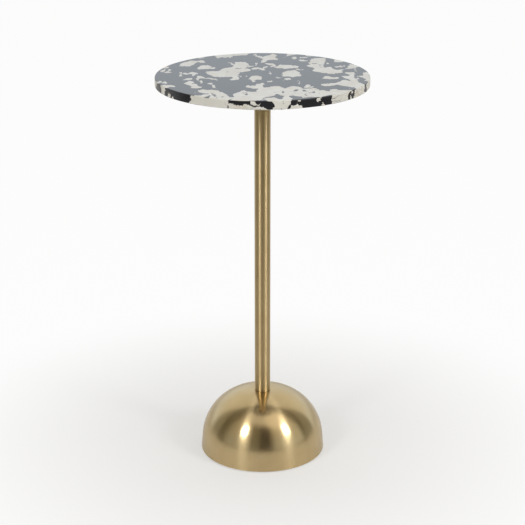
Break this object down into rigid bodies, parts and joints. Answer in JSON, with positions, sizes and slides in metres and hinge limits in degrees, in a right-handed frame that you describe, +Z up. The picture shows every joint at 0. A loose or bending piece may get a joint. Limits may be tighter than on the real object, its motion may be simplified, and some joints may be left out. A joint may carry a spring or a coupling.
{
  "type": "wine table",
  "caption": "Round drinks table: a black and cream terrazzo slab on a slim satin-brass post, standing on a weighted spun-brass dome.",
  "frame": {"origin": "on the floor, under the middle of the table", "axes": "+Z up along the post's axis; X and Y level, with the plate screws on them"},
  "size_m": [0.3, 0.3, 0.57],
  "materials": {
    "terrazzo": "honed terrazzo, near-black with cream chips",
    "satin_brass": "satin brushed, lacquered",
    "zinc_steel": "bright zinc plated",
    "bare_steel": "turned, bare",
    "insert_brass": "turned, bare",
    "cement": "cast, rough",
    "fibre_board": "raw fibre board",
    "foam_rubber": "closed-cell foam, matt black"
  },
  "bodies": {
    "root": {"terrazzo_top": "terrazzo", "top_inserts": "insert_brass", "top_plate": "satin_brass", "plate_screws": "zinc_steel", "plate_stud": "zinc_steel", "post_tube": "satin_brass", "post_top_plug": "bare_steel", "post_bottom_plug": "bare_steel", "dome_shell": "satin_brass", "crown_washer": "zinc_steel", "bolt_sleeve": "bare_steel", "ballast": "cement", "base_board": "fibre_board", "floor_pad": "foam_rubber", "bolt_washer": "zinc_steel", "lock_washer": "zinc_steel", "base_bolt": "zinc_steel"}
  },
  "joints": []
}
